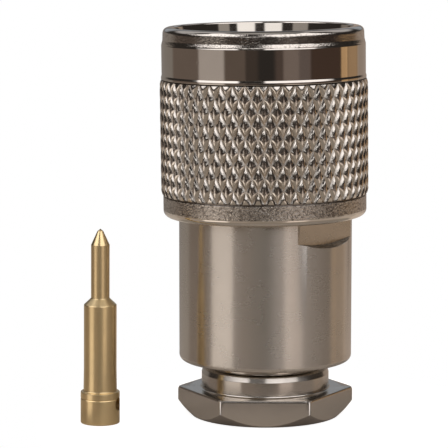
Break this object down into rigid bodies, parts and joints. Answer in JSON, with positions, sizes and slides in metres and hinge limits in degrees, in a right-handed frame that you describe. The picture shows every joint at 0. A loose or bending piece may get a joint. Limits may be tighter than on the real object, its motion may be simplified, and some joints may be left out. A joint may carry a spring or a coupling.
{
  "type": "n type connector",
  "caption": "Coaxial cable plug with a knurled coupling nut, a barrel with wrench flats, a hexagonal clamp nut at the cable end and a loose gilded centre contact beside it.",
  "frame": {"origin": "centre of the cable entry in the clamp nut's end face, which is the face that the plug stands on", "axes": "+Z along the plug's axis from the cable entry to the coupling nut's mouth; -Y is the side that shows a flat of the hexagon, and the loose centre contact stands on the -X side"},
  "size_m": [0.0282, 0.0204, 0.0385],
  "materials": {
    "nickel_clamp": "turned brass with bright nickel plating",
    "nickel_housing": "turned brass with bright nickel plating",
    "nickel_nut": "turned and knurled brass with bright nickel plating",
    "nickel_inner": "turned brass with nickel plating",
    "silver_contact": "spring bronze with white bronze plating",
    "spring_bronze": "bare spring bronze",
    "washer_brass": "bare stamped brass",
    "gold": "turned brass with gold plating",
    "ptfe": "turned white PTFE",
    "silicone": "moulded silicone rubber",
    "gasket_rubber": "moulded black rubber"
  },
  "bodies": {
    "clamp": {"clamp_nut": "nickel_clamp", "centre_contact": "gold"},
    "gland": {"thrust_washer": "washer_brass", "cable_gasket": "gasket_rubber", "braid_clamp": "nickel_inner"},
    "plug": {"plug_housing": "nickel_housing", "outer_contact": "silver_contact", "retaining_ring": "spring_bronze", "face_gasket": "silicone", "front_insulator": "ptfe", "rear_insulator": "ptfe"},
    "coupling": {"coupling_nut": "nickel_nut"}
  },
  "joints": [
    {"name": "clamp_turn", "type": "hinge", "parent": "clamp", "child": "gland", "pos_m": [0, 0, 0.0105], "axis": [0, 0, 1], "range_deg": [-388, 1804]},
    {"name": "housing_travel", "type": "slide", "parent": "gland", "child": "plug", "axis": [0, 0, 1], "range_m": [-0.0008, 0.00375]},
    {"name": "coupling_turn", "type": "hinge", "parent": "plug", "child": "coupling", "pos_m": [0, 0, 0.022], "axis": [0, 0, 1], "continuous": true}
  ],
  "couplings": [
    {"joint": "clamp_turn", "follows": "housing_travel", "rad_per_m": 8377.6}
  ]
}
